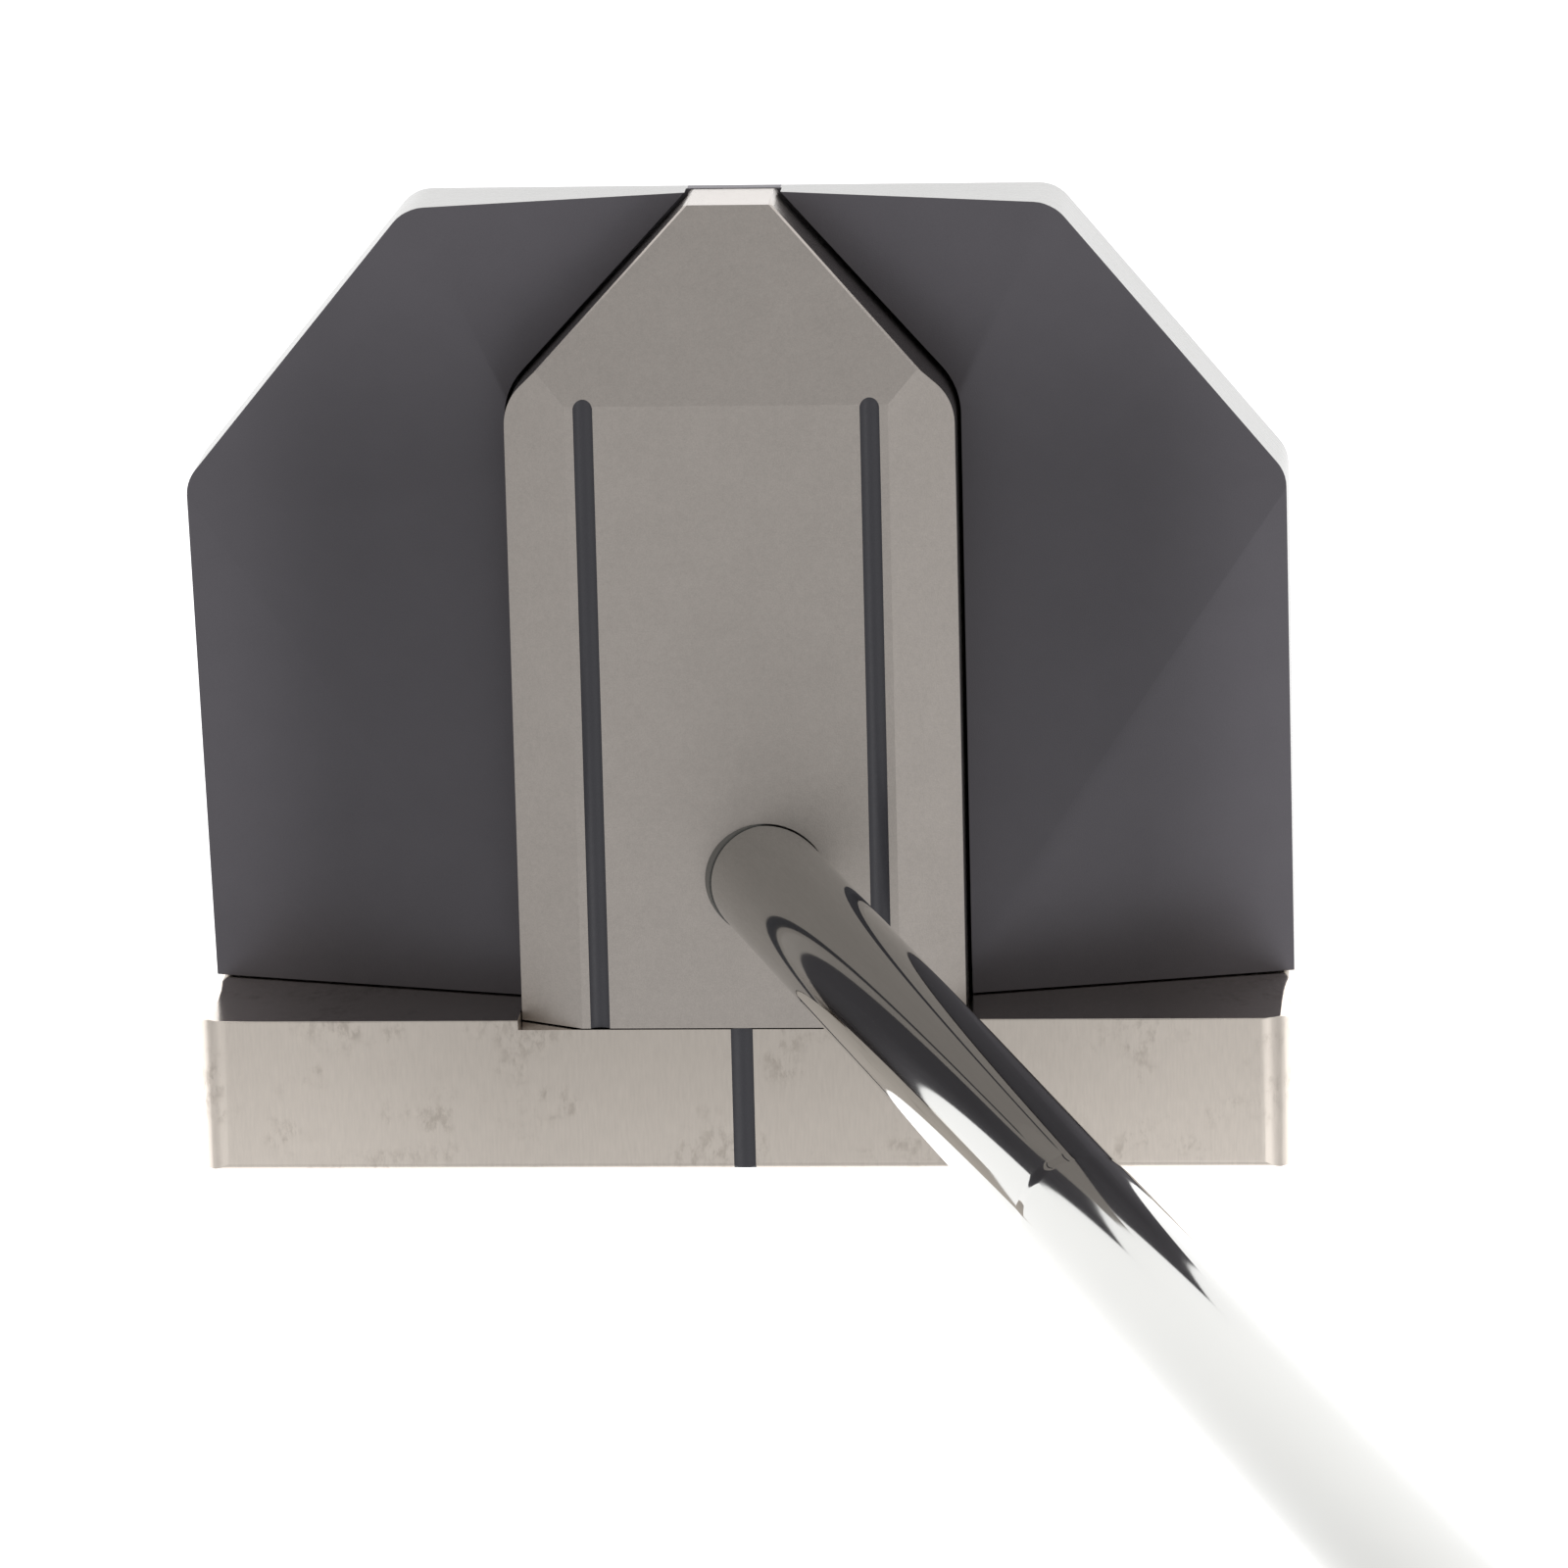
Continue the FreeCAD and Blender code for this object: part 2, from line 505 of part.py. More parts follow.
def build_grip():
    """Grip skin round its foam core, tape on the shaft, and the butt cap."""
    tape_outer = SHAFT_BUTT_RADIUS + TAPE_THICKNESS
    core_outer = tape_outer + CORE_THICKNESS
    stop = SHAFT_LENGTH - CAP_FLANGE
    tape = tube_between(GRIP_MOUTH, stop, SHAFT_BUTT_RADIUS, tape_outer)
    core = tube_between(GRIP_MOUTH + CORE_INSET, stop, tape_outer, core_outer)
    skin = Part.makeLoft([grip_wire(*station) for station in GRIP_STATIONS], True, False)
    skin = skin.cut(rod(lean_point(GRIP_MOUTH - 1), SHAFT_AXIS, tape_outer, GRIP_LENGTH + 2)).cut(core)
    flange = Part.Face(grip_wire(*GRIP_STATIONS[-1])).extrude(SHAFT_AXIS * CAP_FLANGE)
    plug_start = lean_point(stop - CAP_PLUG)
    plug = rod(plug_start, SHAFT_AXIS, SHAFT_BUTT_RADIUS - SHAFT_WALL - SEAM, CAP_PLUG)
    vent = rod(plug_start, SHAFT_AXIS, CAP_VENT_RADIUS, CAP_PLUG + CAP_FLANGE)
    cap = flange.fuse(plug).cut(vent).removeSplitter()
    return tape, core, skin, cap


# ---- output --------------------------------------------------------------------------------
def save(name, shape):
    """Write one node, moved so that the origin is under the middle of the head."""
    moved = shape.copy()
    moved.translate(V(0, -HEAD_DEPTH / 2, 0))
    box = moved.BoundBox
    print(f"{name:20s} solids {len(moved.Solids)} valid {moved.isValid()} volume {moved.Volume:9.1f}",
          f"x {box.XMin:6.1f} {box.XMax:6.1f} y {box.YMin:6.1f} {box.YMax:6.1f} z {box.ZMin:6.1f} {box.ZMax:6.1f}")
    moved.exportStep(f"parts/{name}.step")


def main():
    os.makedirs("parts", exist_ok=True)
    bar, bar_paint = build_bar()
    save("face_bar", bar)
    save("sight_line_bar", bar_paint)
    save("wing_body", build_wing_body())
    spine, paints = build_spine()
    save("spine", spine)
    for name, paint in zip(("sight_line_heel", "sight_line_toe"), paints):
        save(name, paint)
    save("sole_plate", build_sole_plate())
    save("sole_plate_screws", Part.makeCompound([flat_screw(x, y) for x, y in PLATE_SCREWS]))
    seats = [V(x, y, FLOOR_BOTTOM) for x, y in SPINE_SCREWS]
    screws = [cap_screw(seat, UP, SPINE_SCREW_LENGTH, SCREW_HEAD_RADIUS) for seat in seats]
    save("spine_screws", Part.makeCompound(screws))
    seats = [V(side * BAR_SCREW_X, CAVITY_FRONT, BAR_SCREW_Z) for side in (1, -1)]
    screws = [cap_screw(seat, FORWARD, BAR_SCREW_LENGTH, BAR_SCREW_HEAD_RADIUS) for seat in seats]
    save("bar_screws", Part.makeCompound(screws))
    save("dowel_pins", Part.makeCompound([dowel(side) for side in (1, -1)]))
    for name, side in (("heel", 1), ("toe", -1)):
        save(f"{name}_weight", build_weight(side))
        save(f"{name}_weight_ring", build_ring(side))

    tube = lathe(shaft_profile(0.0) + list(reversed(shaft_profile(SHAFT_WALL))))
    save("shaft", tube)
    save("shaft_bond", tube_between(-SHAFT_SEAT, -BOND_TOP, SHAFT_TIP_RADIUS, SHAFT_TIP_RADIUS + BOND_GAP))
    tip = rod(lean_point(-SHAFT_SEAT), SHAFT_AXIS, TIP_WEIGHT_RADIUS, SHAFT_SEAT + TIP_WEIGHT_TOP)
    save("shaft_tip_weight", tip)
    tape, core, skin, cap = build_grip()
    save("grip_tape", tape)
    save("grip_core", core)
    save("grip_skin", skin)
    save("grip_cap", cap)


main()
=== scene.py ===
"""Mallet putter: finishes, softened edges, chromed shaft, moulded grip and a pale studio.

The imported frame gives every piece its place. Sizes below are in metres.
"""
import json
import math

import bmesh
import bpy
from bpy.props import FloatProperty, FloatVectorProperty, IntProperty, PointerProperty
from mathutils import Matrix, Vector

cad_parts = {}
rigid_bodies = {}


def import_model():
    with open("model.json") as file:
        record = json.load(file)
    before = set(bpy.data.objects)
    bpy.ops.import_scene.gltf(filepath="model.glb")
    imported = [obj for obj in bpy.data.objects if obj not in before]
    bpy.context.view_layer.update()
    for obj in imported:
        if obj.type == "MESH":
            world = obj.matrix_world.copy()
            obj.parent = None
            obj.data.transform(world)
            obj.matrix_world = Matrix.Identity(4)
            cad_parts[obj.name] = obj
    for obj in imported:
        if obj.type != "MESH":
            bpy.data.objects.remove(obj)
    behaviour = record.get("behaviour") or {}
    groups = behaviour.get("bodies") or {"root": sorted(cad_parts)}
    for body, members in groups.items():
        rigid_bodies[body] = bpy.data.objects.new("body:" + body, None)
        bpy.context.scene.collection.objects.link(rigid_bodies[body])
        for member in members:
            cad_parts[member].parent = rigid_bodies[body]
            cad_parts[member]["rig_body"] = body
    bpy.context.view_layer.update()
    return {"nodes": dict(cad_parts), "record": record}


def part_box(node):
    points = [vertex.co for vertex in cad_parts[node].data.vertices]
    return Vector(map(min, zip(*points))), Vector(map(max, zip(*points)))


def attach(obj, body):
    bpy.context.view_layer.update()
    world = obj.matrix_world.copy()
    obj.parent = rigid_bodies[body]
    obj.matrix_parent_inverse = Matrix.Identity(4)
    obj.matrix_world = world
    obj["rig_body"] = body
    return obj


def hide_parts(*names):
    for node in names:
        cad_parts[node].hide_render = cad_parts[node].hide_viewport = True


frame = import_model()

bl_info = {
    "name": "Mallet Putter",
    "version": (1, 0, 0),
    "blender": (4, 5, 0),
    "location": "View3D > Sidebar > Putter",
    "description": "Finishes and details of a mallet putter on its fixed frame",
    "category": "Object",
}

MM = 0.001


def body_of_node(node):
    """Body that a CAD node rides on."""
    return frame["nodes"][node]["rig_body"]


# ---- places worked out from the frame -----------------------------------------------------
GRIP_MOUNT = next(mount for mount in frame["record"]["mounts"] if mount["name"] == "grip")
SHAFT_AXIS = Vector(GRIP_MOUNT["axis"]).normalized()
GRIP_MIDDLE = Vector(GRIP_MOUNT["pos_m"])
HEAD_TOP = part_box("spine")[1].z
ENTRY = GRIP_MIDDLE - SHAFT_AXIS * ((GRIP_MIDDLE.z - HEAD_TOP) / SHAFT_AXIS.z)
GRIP_FRONT = (Vector((-1, 0, 0)) - SHAFT_AXIS * Vector((-1, 0, 0)).dot(SHAFT_AXIS)).normalized()
GRIP_SIDE = SHAFT_AXIS.cross(GRIP_FRONT)


def reach_along(node):
    """Lowest and highest distance of a node's points along the shaft from its entry."""
    distances = [(v.co - ENTRY).dot(SHAFT_AXIS) for v in frame["nodes"][node].data.vertices]
    return min(distances), max(distances)


MOUTH = reach_along("grip_skin")[0]
BUTT = reach_along("shaft")[1]


# ---- settings -------------------------------------------------------------------------------
def length(name, description, default, top=1.0):
    """Length setting in metres."""
    return FloatProperty(name=name, description=description, default=default, min=0.0, max=top,
                         precision=5, subtype="DISTANCE", unit="LENGTH")


def share(name, description, default, top=1.0):
    """Plain factor setting."""
    return FloatProperty(name=name, description=description, default=default, min=0.0, max=top,
                         subtype="FACTOR")


def tint(name, description, default):
    """Linear colour setting."""
    return FloatVectorProperty(name=name, description=description, default=default, size=3,
                               min=0.0, max=1.0, subtype="COLOR")


def count(name, description, default, low, top):
    """Whole-number setting."""
    return IntProperty(name=name, description=description, default=default, min=low, max=top)


class PutterSizes(bpy.types.PropertyGroup):
    """Sizes that the looks add to the frame."""

    edge_break: length("Edge break", "Width of the bevel on the head's machined edges", 0.1 * MM)
    small_break: length("Small edge break", "Width of the bevel on screws and weights", 0.1 * MM)
    rubber_break: length("Rubber edge", "Width of the round on the grip's edges", 0.7 * MM)
    seat: length("Shaft seat", "Length of the shaft held in the head", 18.5 * MM)
    shaft_tip: length("Shaft tip", "Radius of the shaft where it enters the head", 4.7 * MM)
    first_step: length("First step", "Distance from the head to the shaft's first step", 93.0 * MM)
    first_growth: length("First growth", "What the first step adds to the radius", 0.08 * MM)
    series_start: length("Series start", "Distance from the head to the first regular step", 207.0 * MM)
    step_pitch: length("Step pitch", "Distance between the regular steps", 38.0 * MM)
    step_count: count("Steps", "Regular steps", 12, 1, 30)
    step_growth: length("Step growth", "What a regular step adds to the radius", 0.235 * MM)
    cone: length("Step cone", "Length of the cone at each step", 2.4 * MM)
    wall: length("Shaft wall", "Thickness of the shaft's tube", 0.6 * MM)
    shaft_sides: count("Shaft sides", "Facets round the shaft", 144, 16, 360)
    rib_count: count("Grip ribs", "Raised ribs on the grip's flat", 52, 0, 200)
    rib_start: length("First rib", "Distance from the grip's mouth to the first rib", 22.0 * MM)
    rib_pitch: length("Rib pitch", "Distance between the grip's ribs", 4.0 * MM)
    rib_half: length("Rib half width", "Half the width of the first rib", 4.2 * MM)
    rib_widening: share("Rib widening", "What each rib adds to the width, as a share of the first", 0.006)
    rib_radius: length("Rib radius", "Radius of a rib, most of it sunk in the grip", 0.8 * MM)
    rib_stand: length("Rib stand", "How far a rib stands out of the flat", 0.28 * MM)


class PutterFinishes(bpy.types.PropertyGroup):
    """Colours of the finishes."""

    bar_steel: tint("Face bar steel", "Brushed stainless steel", (0.715, 0.652, 0.588))
    bar_stain: tint("Handling stain", "Faint stains on the steel", (0.46, 0.41, 0.36))
    spine: tint("Spine", "Bead-blasted aluminium", (0.50, 0.46, 0.427))
    anodised: tint("Anodised wing", "Black anodised aluminium", (0.155, 0.147, 0.163))
    bare: tint("Bare wall", "Skimmed aluminium of the outer walls", (0.325, 0.323, 0.316))
    paint: tint("Line paint", "Paint in the sight lines", (0.043, 0.042, 0.052))
    chrome: tint("Chrome", "Polished dark chrome of the shaft", (0.50, 0.50, 0.485))
    rubber: tint("Grip rubber", "Moulded rubber of the grip", (0.028, 0.028, 0.031))
    dark_steel: tint("Screw steel", "Blackened steel of the screws", (0.10, 0.10, 0.105))
    weight_steel: tint("Weight steel", "Turned steel of the sole weights", (0.62, 0.6, 0.57))
    pin_steel: tint("Pin steel", "Ground steel of the dowel pins", (0.6, 0.6, 0.6))
    brass: tint("Brass", "Brass of the weight in the shaft tip", (0.62, 0.46, 0.2))
    epoxy: tint("Epoxy", "Adhesive round the shaft tip", (0.13, 0.128, 0.12))
    tape: tint("Tape", "Paper tape under the grip", (0.68, 0.64, 0.52))


class PutterStage(bpy.types.PropertyGroup):
    """Floor, light and camera."""

    floor: tint("Floor", "Pale floor", (0.9, 0.9, 0.9))
    glow: share("Floor glow", "Light that the floor gives off beneath the head", 1.1, 4.0)
    glow_far: share("Far glow", "Share of the glow left far from the head", 0.15)
    glow_reach: length("Glow reach", "Distance from the head at which the glow has faded", 0.26)
    surround: share("Surround", "Brightness of the studio all round", 0.55, 4.0)
    lens: FloatProperty(name="Lens", description="Focal length of the camera", default=233.7, unit="CAMERA")


# ---- shader writing ----------------------------------------------------------------------------
class Wire:
    """A number flowing between nodes. Python's operators add Math nodes."""

    def __init__(self, board, socket):
        self.board = board
        self.socket = socket

    def math(self, operation, *terms):
        """Result of a Math node fed by the terms."""
        node = self.board.node("ShaderNodeMath", {"operation": operation}, dict(enumerate(terms)))
        return Wire(self.board, node.outputs[0])

    def __add__(self, other):
        return self.math("ADD", self, other)

    __radd__ = __add__

    def __sub__(self, other):
        return self.math("SUBTRACT", self, other)

    def __rsub__(self, other):
        return self.math("SUBTRACT", other, self)

    def __mul__(self, other):
        return self.math("MULTIPLY", self, other)

    __rmul__ = __mul__

    def __truediv__(self, other):
        return self.math("DIVIDE", self, other)

    def __rtruediv__(self, other):
        return self.math("DIVIDE", other, self)

    def __gt__(self, other):
        return self.math("GREATER_THAN", self, other)

    def __lt__(self, other):
        return self.math("LESS_THAN", self, other)

    def __abs__(self):
        return self.math("ABSOLUTE", self)

    def __mod__(self, other):
        return self.math("MODULO", self, other)

    def floor(self):
        """Whole part."""
        return self.math("FLOOR", self)

    def step(self, low, high):
        """0 below low, 1 above high, smooth between."""
        settings = {"interpolation_type": "SMOOTHSTEP"}
        links = {"Value": self, "From Min": low, "From Max": high}
        node = self.board.node("ShaderNodeMapRange", settings, links)
        return Wire(self.board, node.outputs[0])

    def between(self, low, high):
        """The wire's 0 to 1 stretched to low to high."""
        return self * (high - low) + low


class Board:
    """A node tree that nodes are added to."""

    def __init__(self, tree):
        self.tree = tree

    def node(self, kind, settings, links):
        """Add a node: settings first, then the value or link of each socket."""
        node = self.tree.nodes.new(kind)
        for key, value in settings.items():
            setattr(node, key, value)
        for key, value in links.items():
            self.plug(node.inputs[key], value)
        return node

    def plug(self, socket, value):
        """Feed a socket from a wire, a socket or a plain value."""
        if isinstance(value, Wire):
            value = value.socket
        if isinstance(value, bpy.types.NodeSocket):
            self.tree.links.new(value, socket)
        elif socket.type == "RGBA" and len(value) == 3:
            socket.default_value = (*value, 1.0)
        else:
            socket.default_value = value


class Finish(Board):
    """One procedural material and the nodes in it."""

    def __init__(self, name, metallic=0.0, **constants):
        """Start a material; constants are shader sockets, named in small letters with underscores."""
        self.material = bpy.data.materials.new(name)
        self.material.use_nodes = True
        super().__init__(self.material.node_tree)
        self.shader = next(n for n in self.tree.nodes if n.type == "BSDF_PRINCIPLED")
        self.shader.inputs["Metallic"].default_value = metallic
        for key, value in constants.items():
            self.shader.inputs[key.replace("_", " ").title().replace("Ior", "IOR")].default_value = value
        self.place = self.node("ShaderNodeTexCoord", {}, {}).outputs["Object"]

    def axes(self):
        """Object position as three wires, in metres."""
        node = self.node("ShaderNodeSeparateXYZ", {}, {"Vector": self.place})
        return tuple(Wire(self, node.outputs[i]) for i in range(3))

    def facing(self):
        """Surface direction as three wires."""
        normal = self.node("ShaderNodeNewGeometry", {}, {}).outputs["Normal"]
        node = self.node("ShaderNodeSeparateXYZ", {}, {"Vector": normal})
        return tuple(Wire(self, node.outputs[i]) for i in range(3))

    def noise(self, grain, stretch=(1, 1, 1), detail=3.0, roughness=0.5):
        """Noise with grains of a size in metres, longer along the stretched axes."""
        scale = tuple(1 / (grain * s) for s in stretch)
        spot = self.node("ShaderNodeMapping", {}, {"Vector": self.place, "Scale": scale}).outputs[0]
        links = {"Vector": spot, "Scale": 1.0, "Detail": detail, "Roughness": roughness}
        return Wire(self, self.node("ShaderNodeTexNoise", {}, links).outputs[0])

    def mix(self, factor, first, second):
        """Colour between two others."""
        node = self.tree.nodes.new("ShaderNodeMix")
        node.data_type = "RGBA"
        for socket, value in ((node.inputs[0], factor), (node.inputs[6], first), (node.inputs[7], second)):
            self.plug(socket, value)
        return node.outputs[2]

    def shade(self, colour, amount):
        """Colour scaled by a wire."""
        node = self.node("ShaderNodeVectorMath", {"operation": "SCALE"}, {"Scale": amount})
        if isinstance(colour, bpy.types.NodeSocket):
            self.tree.links.new(colour, node.inputs[0])
        else:
            node.inputs[0].default_value = colour
        return node.outputs[0]

    def finish(self, colour=None, roughness=None, metallic=None, height=None, distance=0.0):
        """Feed the shader, with a bump from a height wire scaled by a distance in metres."""
        for key, value in (("Base Color", colour), ("Roughness", roughness), ("Metallic", metallic)):
            if value is not None:
                self.plug(self.shader.inputs[key], value)
        if height is not None:
            links = {"Height": height, "Distance": distance, "Strength": 1.0}
            bump = self.node("ShaderNodeBump", {}, links)
            self.plug(self.shader.inputs["Normal"], bump.outputs[0])
        return self.material


def brushed_steel():
    """Stainless steel brushed from front to rear, with faint handling stains and a polished back."""
    look = bpy.context.scene.putter_finishes
    f = Finish("brushed_steel", metallic=1.0)
    x, y = f.axes()[:2]
    back = f.facing()[1].step(0.6, 0.9)
    streak = f.noise(0.00018, (1, 9, 6), 3.0)
    fine = f.noise(0.00006, (1, 30, 8), 2.0)
    patch = f.noise(0.006, (1.2, 1.0, 1.0), 4.0, 0.6)
    smear = f.noise(0.0009, (0.8, 1.6, 1.0), 4.0, 0.65)
    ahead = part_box("face_bar")[1].y - y
    # the steel's colour is made lighter towards the bar's front edge and towards its ends
    lighter_ahead_and_at_ends = ahead.step(0.0005, 0.0135) * 0.18 + abs(x).step(0.016, 0.042) * 0.2
    stain = patch.step(0.5, 0.66) * smear.step(0.42, 0.66) + smear.between(0.0, 0.25)
    colour = f.mix(stain * 0.6, tuple(look.bar_steel), tuple(look.bar_stain))
    colour = f.shade(colour, streak.between(0.93, 1.07) * (lighter_ahead_and_at_ends + 0.92))
    rough = (streak.between(0.28, 0.42) + stain * 0.08) * (1 - back) + back * 0.16
    return f.finish(colour, rough, height=streak + fine * 0.6, distance=0.000002)


def blasted_aluminium():
    """Aluminium with the fine even grain that glass beads leave."""
    look = bpy.context.scene.putter_finishes
    f = Finish("blasted_aluminium", metallic=1.0)
    grain = f.noise(0.00012, detail=2.0)
    cloud = f.noise(0.004, detail=4.0, roughness=0.6)
    mottle = f.noise(0.0005, detail=3.0, roughness=0.7)
    wall = 1 - abs(f.facing()[2]).step(0.2, 0.4)
    tone = grain.between(0.84, 1.16) * cloud.between(0.95, 1.05) * mottle.between(0.92, 1.08)
    colour = f.shade(tuple(look.spine), tone * wall.between(1.0, 0.86))
    rough = grain.between(0.4, 0.56) * wall.between(1.0, 0.5)
    return f.finish(colour, rough, height=grain, distance=0.000012)


def wing_finish():
    """Black anodised faces with bare skimmed outer walls and a bright line at their edge, with painted shade
    that darkens the faces towards the spine and the bar.
    """
    look = bpy.context.scene.putter_finishes
    f = Finish("wing_finish")
    x, y = f.axes()[:2]
    wall = 1 - abs(f.facing()[2]).step(0.35, 0.5)
    bare = wall * outer_wall_mask(x, y)
    grain = f.noise(0.0001, detail=2.0)
    cloud = f.noise(0.005, detail=4.0, roughness=0.6)
    lines = f.noise(0.00007, (60, 60, 1), 2.0)
    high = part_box("wing_body")[1]
    # painted shade and light: the anodised faces are darker towards the spine and the bar and lighter at the
    # outer rim and the rear
    painted_rim_rear_light = (abs(x) - high.x).step(-0.013, 0.0) * 0.3 + (y - high.y).step(-0.024, 0.0) * 0.34
    tone = grain.between(0.88, 1.12) * cloud.between(0.94, 1.06) * (painted_rim_rear_light + 0.66)
    dark = f.shade(tuple(look.anodised), tone)
    bright = f.shade(tuple(look.bare), lines.between(0.9, 1.05))
    colour = f.mix(bare, dark, bright)
    rough = grain.between(0.42, 0.56) * (1 - bare) + lines.between(0.2, 0.34) * bare
    height = grain * (1 - bare) + lines * bare * 0.25
    return f.finish(colour, rough, bare.between(0.75, 1.0), height, 0.00001)


# how far in from the side and from the rear the outer walls reach
WALL_REACH = 4.5 * MM
REAR_REACH = 4.0 * MM
# half the width of the spine's tail, which has no wall behind it
TAIL_HALF = 3.85 * MM
# direction that the chamfered rear corners face, sideways and to the rear, and where they start along it
CHAMFER_FACING = (0.77, 0.64)
CHAMFER_START = 42.5 * MM


def outer_wall_mask(x, y):
    """1 near the head's outer outline behind the bar, 0 at the spine's pocket."""
    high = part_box("wing_body")[1]
    side = abs(x) > high.x - WALL_REACH
    rear = (y > high.y - REAR_REACH) * (abs(x) > TAIL_HALF)
    chamfer = (abs(x) * CHAMFER_FACING[0] + y * CHAMFER_FACING[1]) > CHAMFER_START
    walls = side + rear + chamfer
    return walls.math("MINIMUM", walls, 1.0)


def line_paint():
    """Black paint with a low sheen that has settled into a groove."""
    look = bpy.context.scene.putter_finishes
    f = Finish("line_paint", coat_weight=0.2, coat_roughness=0.2)
    orange_peel = f.noise(0.0007, detail=2.0)
    speck = f.noise(0.00015, detail=2.0)
    colour = f.shade(tuple(look.paint), speck.between(0.85, 1.15))
    return f.finish(colour, orange_peel.between(0.36, 0.5), height=orange_peel, distance=0.00002)


def polished_chrome():
    """Mirror chrome with the faint lengthwise polish marks of a drawn tube."""
    look = bpy.context.scene.putter_finishes
    f = Finish("polished_chrome", metallic=1.0)
    haze = f.noise(0.012, detail=3.0)
    hair = f.noise(0.00008, (1, 1, 80), 2.0)
    colour = f.shade(tuple(look.chrome), haze.between(0.98, 1.0))
    return f.finish(colour, haze.between(0.02, 0.05) + hair * 0.02)


def moulded_rubber():
    """Rubber with the fine matt texture of its mould."""
    look = bpy.context.scene.putter_finishes
    f = Finish("moulded_rubber", specular_ior_level=0.4)
    grain = f.noise(0.00022, detail=3.0)
    wear = f.noise(0.02, detail=4.0)
    colour = f.shade(tuple(look.rubber), wear.between(0.85, 1.2))
    return f.finish(colour, grain.between(0.5, 0.68), height=grain, distance=0.00004)


def smooth_rubber():
    """Plain black rubber of seals and the butt cap."""
    look = bpy.context.scene.putter_finishes
    f = Finish("smooth_rubber", specular_ior_level=0.45)
    grain = f.noise(0.0004, detail=2.0)
    colour = f.shade(tuple(look.rubber), grain.between(0.9, 1.2))
    return f.finish(colour, grain.between(0.4, 0.5), height=grain, distance=0.00001)


def turned_metal(name, colour, rough):
    """Lathe-turned metal with a fine level grain."""
    f = Finish(name, metallic=1.0)
    scuff = f.noise(0.0004, detail=3.0)
    tone = f.noise(0.00008, (6, 6, 1), 2.0)
    toned = f.shade(tuple(colour), tone.between(0.88, 1.1))
    return f.finish(toned, scuff.between(rough, rough + 0.12), height=tone, distance=0.000004)


def cured_epoxy():
    """Dark adhesive that fills the joint round the shaft tip."""
    look = bpy.context.scene.putter_finishes
    f = Finish("cured_epoxy")
    cloud = f.noise(0.0005)
    return f.finish(f.shade(tuple(look.epoxy), cloud.between(0.8, 1.2)), cloud.between(0.3, 0.5))


def paper_tape():
    """Grip tape with a paper fibre."""
    look = bpy.context.scene.putter_finishes
    f = Finish("paper_tape")
    fibre = f.noise(0.0003, (1, 1, 6))
    colour = f.shade(tuple(look.tape), fibre.between(0.9, 1.1))
    return f.finish(colour, fibre.between(0.7, 0.85), height=fibre, distance=0.00002)


# ---- mesh writing ------------------------------------------------------------------------------
# corners closer than this are one corner
WELD = 0.002 * MM
# faces that meet at less than the first angle are one face; edges above the second get a bevel, and
# edges above the third stay sharp in the shading
FLAT_ANGLE = math.radians(0.4)
BREAK_ANGLE = math.radians(24)
SHARP_ANGLE = math.radians(32)


def new_piece(name, mesh, node, material):
    """Object at the origin with one material, riding on the body of a CAD node."""
    mesh.name = name
    piece = bpy.data.objects.new(name, mesh)
    bpy.context.scene.collection.objects.link(piece)
    mesh.materials.clear()
    mesh.materials.append(material)
    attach(piece, body_of_node(node))
    return piece


def applied(piece):
    """Plain mesh of a piece with its modifiers worked in."""
    bpy.context.view_layer.update()
    graph = bpy.context.evaluated_depsgraph_get()
    return bpy.data.meshes.new_from_object(piece.evaluated_get(graph))


def islands(node):
    """Middle, at floor level, of each separate solid of a CAD node."""
    work = bmesh.new()
    work.from_mesh(frame["nodes"][node].data)
    bmesh.ops.remove_doubles(work, verts=work.verts, dist=WELD)
    left = set(work.verts)
    middles = []
    while left:
        reached, edge = set(), [left.pop()]
        while edge:
            vert = edge.pop()
            reached.add(vert)
            for link in vert.link_edges:
                other = link.other_vert(vert)
                if other in left:
                    left.discard(other)
                    edge.append(other)
        xs = [v.co.x for v in reached]
        ys = [v.co.y for v in reached]
        middles.append(((min(xs) + max(xs)) / 2, (min(ys) + max(ys)) / 2, 0.0))
    work.free()
    return sorted(middles)


def softened(node, width, material, segments=2):
    """Piece that takes a CAD node's place, with its hard edges broken by a small round."""
    source = frame["nodes"][node]
    mesh = source.data.copy()
    work = bmesh.new()
    work.from_mesh(mesh)
    bmesh.ops.remove_doubles(work, verts=work.verts, dist=WELD)
    bmesh.ops.dissolve_limit(work, angle_limit=FLAT_ANGLE, use_dissolve_boundaries=False,
                             verts=work.verts, edges=work.edges, delimit=set())
    work.to_mesh(mesh)
    work.free()
    rough = bpy.data.objects.new(node + "_rough", mesh)
    bpy.context.scene.collection.objects.link(rough)
    bevel = rough.modifiers.new("edge_break", "BEVEL")
    bevel.width = width
    bevel.segments = segments
    bevel.limit_method = "ANGLE"
    bevel.angle_limit = BREAK_ANGLE
    bevel.miter_outer = "MITER_ARC"
    bevel.use_clamp_overlap = True
    done = applied(rough)
    bpy.data.objects.remove(rough)
    done.shade_smooth()
    done.set_sharp_from_angle(angle=SHARP_ANGLE)
    piece = new_piece(node + "_look", done, node, material)
    weighted = piece.modifiers.new("flat_faces", "WEIGHTED_NORMAL")
    weighted.keep_sharp = True
    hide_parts(node)
    return piece


